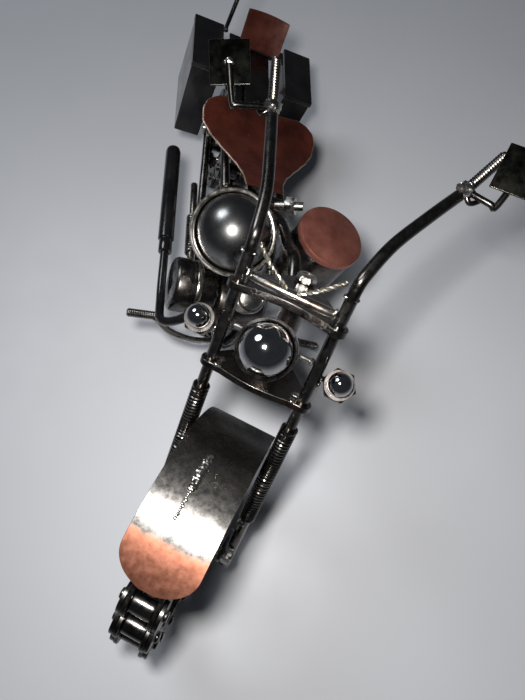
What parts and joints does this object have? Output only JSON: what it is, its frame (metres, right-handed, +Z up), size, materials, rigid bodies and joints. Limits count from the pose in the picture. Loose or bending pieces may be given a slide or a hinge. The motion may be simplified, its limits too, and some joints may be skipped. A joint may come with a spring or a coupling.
{
  "type": "scrap metal motorcycle figure",
  "caption": "Tabletop motorcycle figure welded from roller chain, nuts, bolts, steel balls and sheet, with turning bars, spinning wheels and a side stand",
  "frame": {"origin": "middle of the bounding box at the base, on the surface it stands on", "axes": "+Z up, the machine faces -Y, its own left side is +X; it leans towards +X on its side stand and its bars are turned to its right"},
  "size_m": [0.1442, 0.2936, 0.1435],
  "materials": {
    "steel": "dark burnished steel, smoothly polished with weld tint",
    "bright": "bare worn steel, threads and springs bright on their crests",
    "ball_steel": "mirror polished bearing ball",
    "copper": "copper coloured coat, satin",
    "lacquer": "red-brown lacquer on steel sheet, bare bright edge",
    "black": "gloss black on steel sheet",
    "wire": "two strands of wire twisted together"
  },
  "bodies": {
    "frame": {"main_frame": "steel", "rear_axle": "bright", "tank_ball": "ball_steel", "tank_cup": "bright", "tank_drum": "steel", "tank_cap": "copper", "saddle": "lacquer", "seat_bolt": "bright", "back_rest": "lacquer", "rack": "steel", "rear_fender": "steel", "side_box_left": "black", "side_box_lid_left": "black", "side_box_right": "black", "side_box_lid_right": "black", "antenna": "steel", "engine_case": "steel", "side_drum": "steel", "cylinder_front": "bright", "cylinder_rear": "bright", "exhaust": "black", "foot_bolt_left": "bright", "rear_shock_left": "bright", "foot_bolt_right": "bright", "rear_shock_right": "bright"},
    "steering": {"fork_leg_left": "steel", "fork_spring_left": "bright", "fork_dropout_left": "steel", "fork_leg_right": "steel", "fork_spring_right": "bright", "fork_dropout_right": "steel", "front_axle": "bright", "front_fender": "steel", "fender_weld_bead": "bright", "yoke_lower": "steel", "yoke_upper": "steel", "steering_stem": "bright", "fork_cross_tube": "bright", "fork_cross_rod": "steel", "headlight_ball": "ball_steel", "headlight_cup": "steel", "indicator_nut_left": "steel", "indicator_ball_left": "ball_steel", "indicator_nut_right": "steel", "indicator_ball_right": "ball_steel", "handlebar_left": "steel", "bar_control_left": "bright", "grip_bolt_left": "bright", "mirror_left": "steel", "handlebar_right": "steel", "bar_control_right": "bright", "grip_bolt_right": "bright", "mirror_right": "steel", "control_cable_left": "wire", "control_cable_right": "wire"},
    "front_wheel": {"front_wheel_chain": "steel", "front_wheel_hub": "bright"},
    "rear_wheel": {"rear_wheel_chain": "steel", "rear_wheel_hub": "bright"},
    "stand": {"side_stand": "steel"}
  },
  "joints": [
    {"name": "steering_turn", "type": "hinge", "parent": "frame", "child": "steering", "pos_m": [-0.00412, -0.04174, 0.08506], "axis": [0.3479, 0.5384, 0.7675], "range_deg": [-6, 64]},
    {"name": "front_wheel_spin", "type": "hinge", "parent": "steering", "child": "front_wheel", "pos_m": [-0.04062, -0.10625, 0.04262], "axis": [0.8917, -0.4429, -0.0935], "continuous": true},
    {"name": "rear_wheel_spin", "type": "hinge", "parent": "frame", "child": "rear_wheel", "pos_m": [-0.03013, 0.10412, 0.03027], "axis": [0.9092, 0.0058, -0.4162], "continuous": true},
    {"name": "side_stand_fold", "type": "hinge", "parent": "frame", "child": "stand", "pos_m": [-0.01774, 0.01464, 0.01429], "axis": [0.8151, -0.0081, 0.5792], "range_deg": [0, 70]}
  ]
}
